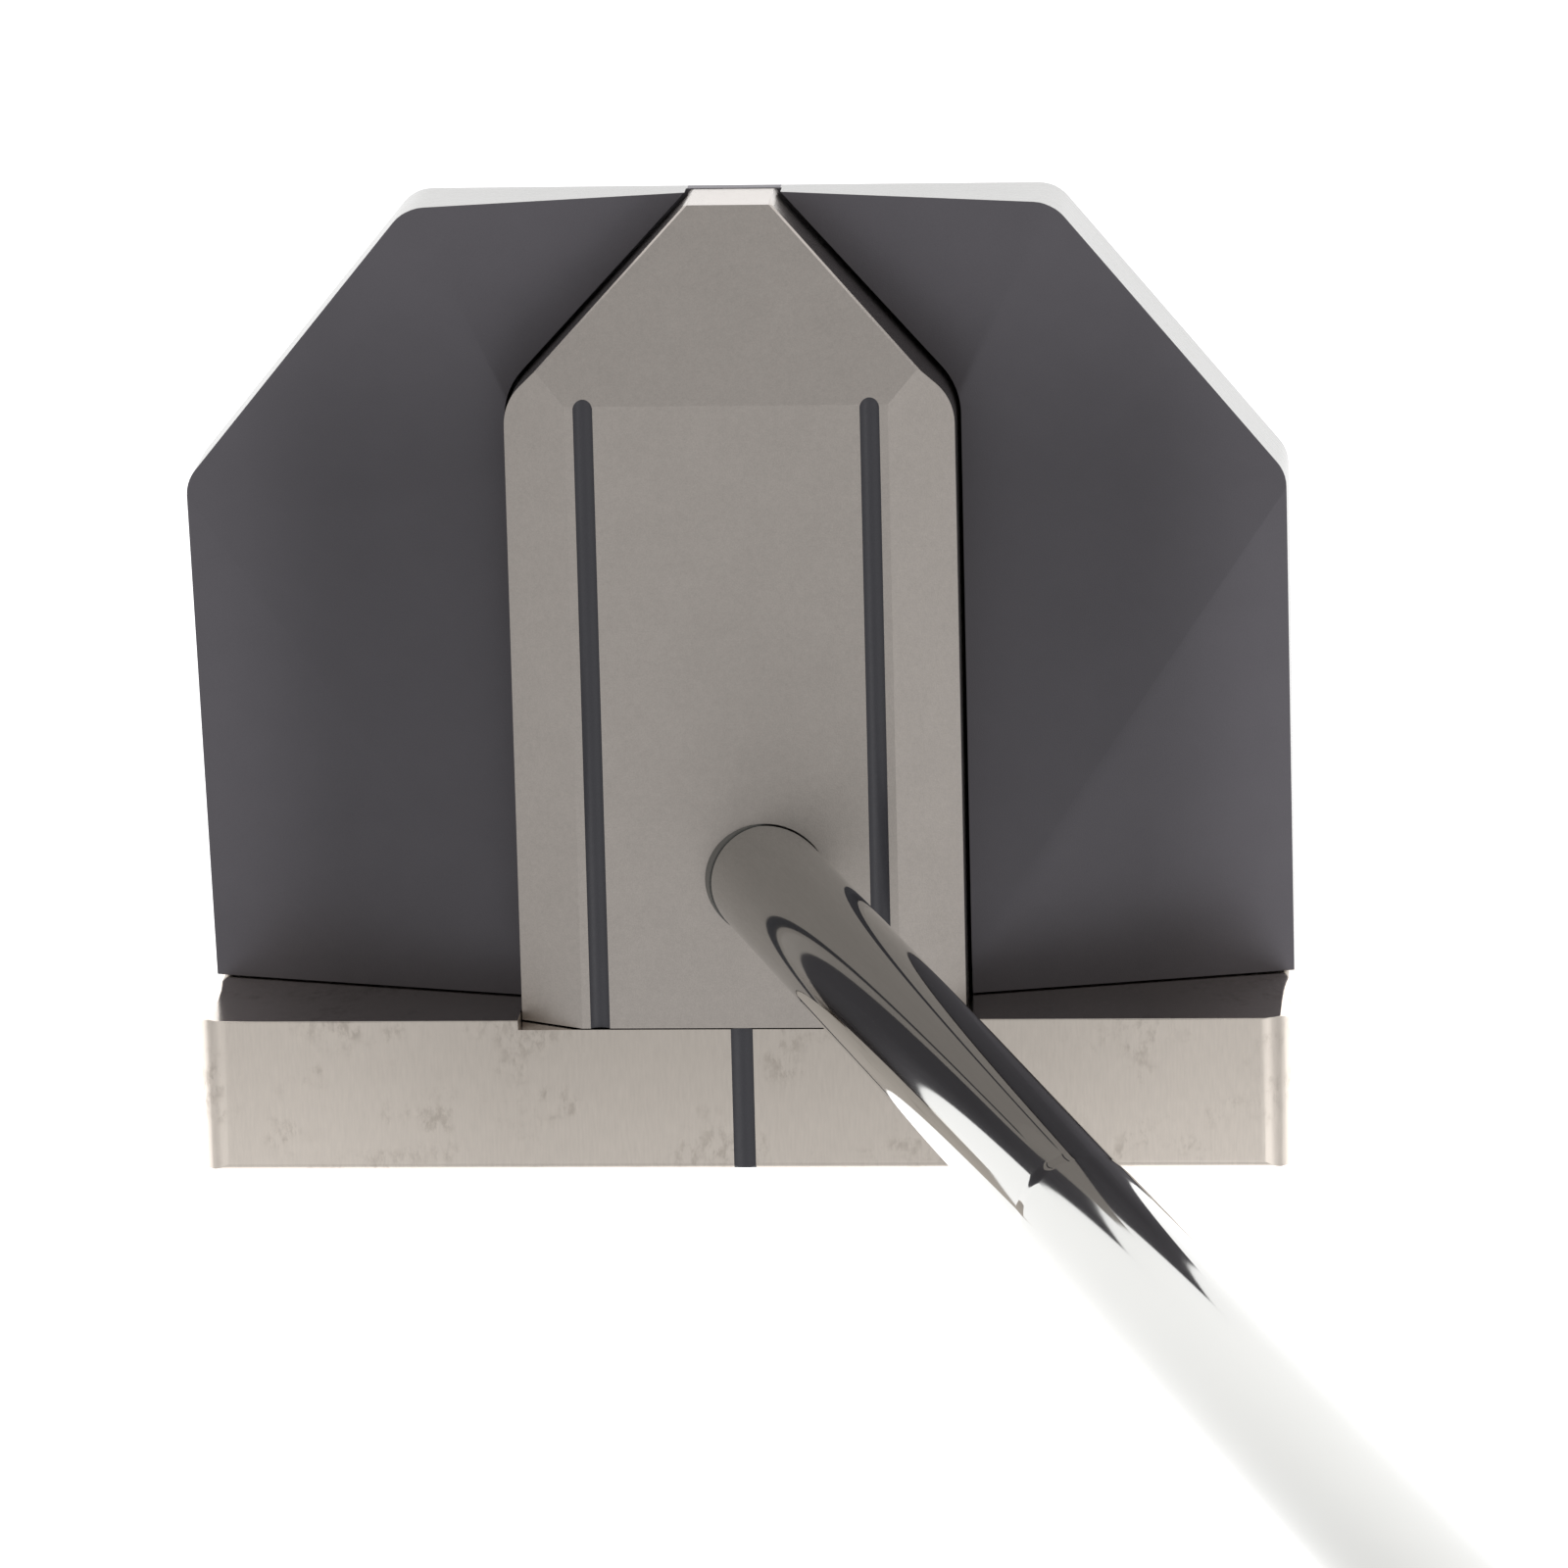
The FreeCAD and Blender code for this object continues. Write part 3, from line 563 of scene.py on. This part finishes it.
def grown(name, tree, inputs, node, material, base=None):
    """Plain piece that a Geometry Nodes tree makes from its named inputs, for a CAD node's body."""
    seed = bpy.data.objects.new(name + "_seed", base or bpy.data.meshes.new(name + "_seed"))
    bpy.context.scene.collection.objects.link(seed)
    modifier = seed.modifiers.new("growth", "NODES")
    modifier.node_group = tree
    for item in tree.interface.items_tree:
        if item.item_type == "SOCKET" and item.in_out == "INPUT" and item.name in inputs:
            modifier[item.identifier] = inputs[item.name]
    mesh = applied(seed)
    bpy.data.objects.remove(seed)
    if not mesh.polygons:
        raise RuntimeError(name + " came out empty")
    mesh.shade_smooth()
    mesh.set_sharp_from_angle(angle=SHARP_ANGLE)
    return new_piece(name, mesh, node, material)


class Growth(Board):
    """A Geometry Nodes tree with named inputs that makes one piece."""

    def __init__(self, name, inputs):
        super().__init__(bpy.data.node_groups.new(name, "GeometryNodeTree"))
        self.tree.interface.new_socket("Geometry", in_out="INPUT", socket_type="NodeSocketGeometry")
        for label, (kind, value) in inputs.items():
            socket = self.tree.interface.new_socket(label, in_out="INPUT", socket_type="NodeSocket" + kind)
            socket.default_value = value
        self.tree.interface.new_socket("Geometry", in_out="OUTPUT", socket_type="NodeSocketGeometry")
        self.entry = self.tree.nodes.new("NodeGroupInput")

    def __getitem__(self, label):
        """A named input as a wire."""
        return Wire(self, self.entry.outputs[label])

    def index(self):
        """Number of each point."""
        return Wire(self, self.node("GeometryNodeInputIndex", {}, {}).outputs[0])

    def vector(self, x, y, z):
        """Vector from three wires or numbers."""
        return self.node("ShaderNodeCombineXYZ", {}, {0: x, 1: y, 2: z}).outputs[0]

    def along(self, start, *terms):
        """Start moved by each (direction, amount)."""
        place = start
        for direction, amount in terms:
            links = {0: direction, "Scale": amount}
            move = self.node("ShaderNodeVectorMath", {"operation": "SCALE"}, links).outputs[0]
            place = self.node("ShaderNodeVectorMath", {"operation": "ADD"}, {0: place, 1: move}).outputs[0]
        return place

    def close(self, geometry, material):
        """End the tree: instances made real and given their material."""
        real = self.node("GeometryNodeRealizeInstances", {}, {0: geometry}).outputs[0]
        links = {"Geometry": real, "Material": material}
        done = self.node("GeometryNodeSetMaterial", {}, links).outputs[0]
        self.node("NodeGroupOutput", {}, {0: done})
        return self.tree


RINGS_A_STEP = 8


def stepped_tube(material):
    """Tree of a tube that steps up in radius as it rises from the head."""
    g = Growth("stepped_tube", {
        "Seat": ("Float", 0.018), "Top": ("Float", 0.8), "Tip Radius": ("Float", 0.0047),
        "Wall": ("Float", 0.0006), "First Step": ("Float", 0.09), "First Growth": ("Float", 0.0001),
        "Series Start": ("Float", 0.2), "Pitch": ("Float", 0.038), "Steps": ("Int", 12),
        "Growth": ("Float", 0.0002), "Cone": ("Float", 0.001), "Sides": ("Int", 96)})
    # one ring at the tip, the rings of each step and one at the butt, then back down the inside
    rings = (g["Steps"] + 1) * RINGS_A_STEP + 2
    columns = g["Sides"] + 1
    links = {"Vertices X": rings * 2 + 1, "Vertices Y": columns}
    grid = g.node("GeometryNodeMeshGrid", {}, links).outputs[0]
    # the small amounts added before floor() keep a whole number from rounding down
    lap = (g.index() / columns + 0.0001).floor()
    row = lap % (rings * 2)
    column = g.index() - lap * columns
    inside = row > rings - 0.5
    ring = row * (1 - inside) + (rings * 2 - 1 - row) * inside
    step = ((ring - 1) / RINGS_A_STEP + 0.01).floor()
    part = (ring - 1 - step * RINGS_A_STEP) / (RINGS_A_STEP - 1)
    later = step > 0.5
    first = 1 - later
    start = g["First Step"] * first + (g["Series Start"] + (step - 1) * g["Pitch"]) * later
    height = start + part * g["Cone"]
    below = later * (g["First Growth"] + (step - 1) * g["Growth"])
    rise = part.step(0, 1) * (g["First Growth"] * first + g["Growth"] * later)
    tip = ring < 0.5
    butt = ring > rings - 1.5
    middle = 1 - tip - butt
    full = g["First Growth"] + g["Steps"] * g["Growth"]
    height = height * middle + butt * g["Top"] - tip * g["Seat"]
    radius = g["Tip Radius"] + (below + rise) * middle + full * butt - inside * g["Wall"]
    angle = column * math.tau / g["Sides"]
    across = radius * angle.math("COSINE", angle)
    aside = radius * angle.math("SINE", angle)
    place = g.along(tuple(ENTRY), (tuple(SHAFT_AXIS), height), (tuple(GRIP_FRONT), across),
                    (tuple(GRIP_SIDE), aside))
    shaped = g.node("GeometryNodeSetPosition", {}, {"Geometry": grid, "Position": place}).outputs[0]
    links = {"Geometry": shaped, "Distance": WELD}
    welded = g.node("GeometryNodeMergeByDistance", {}, links).outputs[0]
    return g.close(welded, material)


# distance from the shaft's axis that is outside the grip
CLEAR_OF_GRIP = 40.0 * MM
RIB_SIDES = 16


def flat_ribs(material):
    """Tree of low round-ended ribs laid across the grip's flat."""
    g = Growth("flat_ribs", {
        "Count": ("Int", 50), "Pitch": ("Float", 0.004), "Start": ("Float", 0.55),
        "Half Width": ("Float", 0.006), "Widening": ("Float", 0.0), "Radius": ("Float", 0.0008),
        "Stand": ("Float", 0.0003)})
    line = g.node("GeometryNodeMeshLine", {"mode": "OFFSET"}, {"Count": g["Count"]}).outputs[0]
    height = g["Start"] + g.index() * g["Pitch"]
    axis = g.along(tuple(ENTRY), (tuple(SHAFT_AXIS), height))
    outside = g.along(axis, (tuple(GRIP_FRONT), CLEAR_OF_GRIP))
    links = {"Target Geometry": g.entry.outputs[0], "Source Position": outside,
             "Ray Direction": tuple(-GRIP_FRONT)}
    hit = g.node("GeometryNodeRaycast", {}, links)
    sunk = g.along(hit.outputs["Hit Position"], (tuple(GRIP_FRONT), g["Stand"] - g["Radius"]))
    placed = g.node("GeometryNodeSetPosition", {}, {"Geometry": line, "Position": sunk}).outputs[0]
    left = g.vector(g["Half Width"] * -1, 0.0, 0.0)
    right = g.vector(g["Half Width"], 0.0, 0.0)
    bar = g.node("GeometryNodeCurvePrimitiveLine", {}, {"Start": left, "End": right}).outputs[0]
    links = {"Resolution": RIB_SIDES, "Radius": g["Radius"]}
    ring = g.node("GeometryNodeCurvePrimitiveCircle", {}, links).outputs[0]
    links = {"Curve": bar, "Profile Curve": ring, "Fill Caps": True}
    rod = g.node("GeometryNodeCurveToMesh", {}, links).outputs[0]
    links = {"Segments": RIB_SIDES, "Rings": RIB_SIDES // 2, "Radius": g["Radius"]}
    ball = g.node("GeometryNodeMeshUVSphere", {}, links).outputs[0]
    joined = g.tree.nodes.new("GeometryNodeJoinGeometry")
    g.tree.links.new(rod, joined.inputs[0])
    for spot in (right, left):
        end = g.node("GeometryNodeTransform", {}, {"Geometry": ball, "Translation": spot}).outputs[0]
        g.tree.links.new(end, joined.inputs[0])
    turn = Matrix((GRIP_SIDE, SHAFT_AXIS, GRIP_SIDE.cross(SHAFT_AXIS))).transposed().to_euler()
    wide = g.vector(1 + g.index() * g["Widening"], 1.0, 1.0)
    links = {"Points": placed, "Instance": joined.outputs[0], "Rotation": tuple(turn), "Scale": wide}
    laid = g.node("GeometryNodeInstanceOnPoints", {}, links)
    return g.close(laid.outputs[0], material)


def scattered(places, material):
    """Tree that sets a copy of its incoming piece at each place."""
    g = Growth("scattered", {"Size": ("Float", 1.0)})
    spots = g.tree.nodes.new("GeometryNodeJoinGeometry")
    for place in places:
        point = g.node("GeometryNodePoints", {}, {"Count": 1, "Position": tuple(place)}).outputs[0]
        g.tree.links.new(point, spots.inputs[0])
    size = g.vector(g["Size"], g["Size"], g["Size"])
    links = {"Points": spots.outputs[0], "Instance": g.entry.outputs[0], "Scale": size}
    laid = g.node("GeometryNodeInstanceOnPoints", {}, links)
    return g.close(laid.outputs[0], material)


def ringed(name, rings, sides=60):
    """Closed mesh through level rings of (radius, height, 1 for a hexagon or 0 for round)."""
    work = bmesh.new()
    loops = []
    for radius, height, hexed in rings:
        loop = []
        for i in range(sides):
            angle = math.tau * i / sides
            corner = math.cos(math.pi / 6) / math.cos((angle + math.pi / 6) % (math.pi / 3) - math.pi / 6)
            reach = radius * (1 + (corner - 1) * hexed)
            loop.append(work.verts.new((reach * math.cos(angle), reach * math.sin(angle), height)))
        loops.append(loop)
    for lower, upper in zip(loops, loops[1:]):
        for i in range(sides):
            j = (i + 1) % sides
            work.faces.new((lower[i], lower[j], upper[j], upper[i]))
    work.faces.new(reversed(loops[0]))
    work.faces.new(loops[-1])
    bmesh.ops.recalc_face_normals(work, faces=work.faces)
    mesh = bpy.data.meshes.new(name)
    work.to_mesh(mesh)
    work.free()
    return mesh


def coat(node, material):
    """Give a CAD node a finish."""
    mesh = frame["nodes"][node].data
    mesh.materials.clear()
    mesh.materials.append(material)


# ---- operators -----------------------------------------------------------------------------------
FLOOR_RADIUS = 6.0
# the glow is even out to here
GLOW_START = 50.0 * MM
CAMERA_EYE = Vector((65.4, 204.0, 830.1)) * MM
CAMERA_AIM = Vector((0.0, -3.0, 24.4)) * MM
CAMERA_ROLL = math.radians(-1.478)
# how far the view turns from the aim to its right and up, as slopes
CAMERA_TURN = (0.0048755, -0.0046897)
# soft boxes: name, place, side of the square, watts
SOFT_BOXES = (("heel", (0.7, -0.75, 1.2), 1.0, 2.6), ("toe", (-0.9, -0.5, 1.2), 1.0, 0.8))


class PUTTER_OT_stage(bpy.types.Operator):
    """Lay the floor, hang the lights and set up the camera"""

    bl_idname = "putter.stage"
    bl_label = "Stage"

    def execute(self, context):
        look = context.scene.putter_stage
        self.set_floor(look)
        self.set_surround(context.scene, look)
        self.hang_lights()
        self.set_camera(context.scene, look)
        context.scene.view_settings.view_transform = "Standard"
        return {"FINISHED"}

    def set_floor(self, look):
        """Round pale floor that glows under the head, as a lit table does."""
        f = Finish("floor_paint", emission_strength=look.glow)
        x, y = f.axes()[:2]
        squared = x * x + y * y
        away = squared.math("SQRT", squared).step(GLOW_START, look.glow_reach)
        glow = f.shade((1.0, 1.0, 1.0), away.between(1.0, look.glow_far))
        f.plug(f.shader.inputs["Emission Color"], glow)
        f.finish(f.shade(tuple(look.floor), f.noise(0.3).between(0.99, 1.01)), 0.7)
        work = bmesh.new()
        bmesh.ops.create_circle(work, cap_ends=True, segments=96, radius=FLOOR_RADIUS)
        mesh = bpy.data.meshes.new("floor")
        work.to_mesh(mesh)
        work.free()
        mesh.materials.append(f.material)
        floor = bpy.data.objects.new("floor", mesh)
        bpy.context.scene.collection.objects.link(floor)

    def set_surround(self, scene, look):
        """Even soft light from all round."""
        world = bpy.data.worlds.new("studio")
        world.use_nodes = True
        background = next(n for n in world.node_tree.nodes if n.type == "BACKGROUND")
        background.inputs["Color"].default_value = (1.0, 1.0, 1.0, 1.0)
        background.inputs["Strength"].default_value = look.surround
        scene.world = world

    def hang_lights(self):
        """Two soft boxes in front of the face, one on the heel's side and one on the toe's."""
        for name, place, side, watts in SOFT_BOXES:
            light = bpy.data.lights.new(name + "_soft_box", "AREA")
            light.energy = watts
            light.size = side
            lamp = bpy.data.objects.new(name + "_soft_box", light)
            lamp.location = place
            lamp.rotation_euler = Vector(place).to_track_quat("Z", "Y").to_euler()
            bpy.context.scene.collection.objects.link(lamp)

    def set_camera(self, scene, look):
        """Long lens above and behind the head, a little to the heel side."""
        away = (CAMERA_EYE - CAMERA_AIM).normalized()
        right = Vector((0, 1, 0)).cross(away).normalized()
        above = away.cross(right)
        rolled = Matrix.Rotation(CAMERA_ROLL, 3, away)
        right = rolled @ right
        above = rolled @ above
        away = (away - right * CAMERA_TURN[0] - above * CAMERA_TURN[1]).normalized()
        right = (right - away * right.dot(away)).normalized()
        above = away.cross(right)
        camera = bpy.data.objects.new("camera", bpy.data.cameras.new("camera"))
        camera.data.lens = look.lens
        camera.data.sensor_width = 36.0
        camera.data.clip_start = 0.01
        frame_of_view = Matrix((right, above, away)).transposed().to_4x4()
        camera.matrix_world = Matrix.Translation(CAMERA_EYE) @ frame_of_view
        scene.collection.objects.link(camera)
        scene.camera = camera


class PUTTER_OT_face_bar(bpy.types.Operator):
    """Finish the steel face bar"""

    bl_idname = "putter.face_bar"
    bl_label = "Face bar"

    def execute(self, context):
        softened("face_bar", context.scene.putter_sizes.edge_break, brushed_steel())
        return {"FINISHED"}


class PUTTER_OT_wings(bpy.types.Operator):
    """Finish the one-piece wing body"""

    bl_idname = "putter.wings"
    bl_label = "Wings"

    def execute(self, context):
        softened("wing_body", context.scene.putter_sizes.edge_break, wing_finish())
        return {"FINISHED"}


class PUTTER_OT_spine(bpy.types.Operator):
    """Finish the blasted spine"""

    bl_idname = "putter.spine"
    bl_label = "Spine"

    def execute(self, context):
        softened("spine", context.scene.putter_sizes.edge_break, blasted_aluminium())
        return {"FINISHED"}


class PUTTER_OT_sight_lines(bpy.types.Operator):
    """Paint the three sight lines"""

    bl_idname = "putter.sight_lines"
    bl_label = "Sight lines"

    def execute(self, context):
        paint = line_paint()
        for name in ("heel", "toe", "bar"):
            coat("sight_line_" + name, paint)
        return {"FINISHED"}


# sole screws in millimetres: rings (radius, height above the ground, 1 for a hexagon) from the key
# socket's floor over the countersunk head to the neck, then the thread
SCREW_HEAD = ((0.90, 1.10, 1), (0.96, 0.22, 1), (1.02, 0.15, 1), (2.28, 0.15, 0), (2.4, 0.24, 0),
              (1.25, 1.35, 0))
THREAD_START = 1.5
THREAD_RUN_OUT = 0.25
THREAD_PITCH = 0.45
THREAD_CREST = 1.24
THREAD_ROOT = 1.05
SCREW_END = 1.0


class PUTTER_OT_sole(bpy.types.Operator):
    """Finish the sole plate, its screws and the weights"""

    bl_idname = "putter.sole"
    bl_label = "Sole"

    def execute(self, context):
        look = context.scene.putter_finishes
        sizes = context.scene.putter_sizes
        softened("sole_plate", sizes.small_break, turned_metal("sole_anodised", look.anodised, 0.35))
        steel = turned_metal("weight_steel", look.weight_steel, 0.2)
        rubber = smooth_rubber()
        for side in ("heel", "toe"):
            softened(side + "_weight", sizes.small_break, steel)
            coat(side + "_weight_ring", rubber)
        dark = turned_metal("blackened_steel", look.dark_steel, 0.3)
        for node in ("spine_screws", "bar_screws"):
            coat(node, dark)
        self.set_screws(dark)
        coat("dowel_pins", turned_metal("ground_steel", look.pin_steel, 0.15))
        return {"FINISHED"}

    def set_screws(self, material):
        """Countersunk hex screws in the sole plate, one at each of the frame's."""
        node = "sole_plate_screws"
        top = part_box(node)[1].z / MM
        turns = int((top - THREAD_START - THREAD_RUN_OUT) / THREAD_PITCH)
        rings = list(SCREW_HEAD)
        for turn in range(turns):
            height = THREAD_START + THREAD_PITCH * turn
            rings.append((THREAD_CREST, height, 0))
            rings.append((THREAD_ROOT, height + THREAD_PITCH / 2, 0))
        rings.append((SCREW_END, top, 0))
        mesh = ringed("sole_screw", [(radius * MM, height * MM, hexed) for radius, height, hexed in rings])
        tree = scattered(islands(node), material)
        piece = grown("sole_screws_look", tree, {"Size": 1.0}, node, material, mesh)
        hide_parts(node)


class PUTTER_OT_shaft(bpy.types.Operator):
    """Draw the stepped shaft and finish what holds it"""

    bl_idname = "putter.shaft"
    bl_label = "Shaft"

    def execute(self, context):
        chrome = polished_chrome()
        sizes = context.scene.putter_sizes
        steps = {"Seat": sizes.seat, "Top": BUTT, "Tip Radius": sizes.shaft_tip, "Wall": sizes.wall,
                 "First Step": sizes.first_step, "First Growth": sizes.first_growth,
                 "Series Start": sizes.series_start, "Pitch": sizes.step_pitch, "Steps": sizes.step_count,
                 "Growth": sizes.step_growth, "Cone": sizes.cone, "Sides": sizes.shaft_sides}
        tube = grown("shaft_look", stepped_tube(chrome), steps, "shaft", chrome)
        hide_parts("shaft")
        coat("shaft_bond", cured_epoxy())
        brass = context.scene.putter_finishes.brass
        coat("shaft_tip_weight", turned_metal("turned_brass", brass, 0.25))
        return {"FINISHED"}


class PUTTER_OT_grip(bpy.types.Operator):
    """Mould the grip"""

    bl_idname = "putter.grip"
    bl_label = "Grip"

    def execute(self, context):
        coat("grip_tape", paper_tape())
        coat("grip_core", smooth_rubber())
        sizes = context.scene.putter_sizes
        rubber = moulded_rubber()
        skin = softened("grip_skin", sizes.rubber_break, rubber, 4)
        softened("grip_cap", sizes.rubber_break, smooth_rubber(), 4)
        ribs = {"Count": sizes.rib_count, "Pitch": sizes.rib_pitch, "Start": MOUTH + sizes.rib_start,
                "Half Width": sizes.rib_half, "Widening": sizes.rib_widening,
                "Radius": sizes.rib_radius, "Stand": sizes.rib_stand}
        grown("grip_ribs", flat_ribs(rubber), ribs, "grip_skin", rubber, skin.data.copy())
        return {"FINISHED"}


class PUTTER_PT_panel(bpy.types.Panel):
    """Lists the putter's settings and steps"""

    bl_idname = "PUTTER_PT_panel"
    bl_label = "Mallet Putter"
    bl_space_type = "VIEW_3D"
    bl_region_type = "UI"
    bl_category = "Putter"

    def draw(self, context):
        for group in (context.scene.putter_sizes, context.scene.putter_finishes, context.scene.putter_stage):
            box = self.layout.box()
            for key in group.__annotations__:
                box.prop(group, key)
        for step in STEPS:
            self.layout.operator(step.bl_idname)


STEPS = (PUTTER_OT_stage, PUTTER_OT_face_bar, PUTTER_OT_wings, PUTTER_OT_spine, PUTTER_OT_sight_lines,
         PUTTER_OT_sole, PUTTER_OT_shaft, PUTTER_OT_grip)
GROUPS = (("putter_sizes", PutterSizes), ("putter_finishes", PutterFinishes), ("putter_stage", PutterStage))


def register():
    """Make the settings, operators and panel known to Blender."""
    for key, group in GROUPS:
        bpy.utils.register_class(group)
        setattr(bpy.types.Scene, key, PointerProperty(type=group))
    for step in (*STEPS, PUTTER_PT_panel):
        bpy.utils.register_class(step)


def unregister():
    """Take them away again."""
    for step in (*STEPS, PUTTER_PT_panel):
        bpy.utils.unregister_class(step)
    for key, group in GROUPS:
        delattr(bpy.types.Scene, key)
        bpy.utils.unregister_class(group)


def main():
    """Make every piece in order."""
    register()
    for step in STEPS:
        area, name = step.bl_idname.split(".")
        getattr(getattr(bpy.ops, area), name)()


if __name__ == "__main__":
    main()
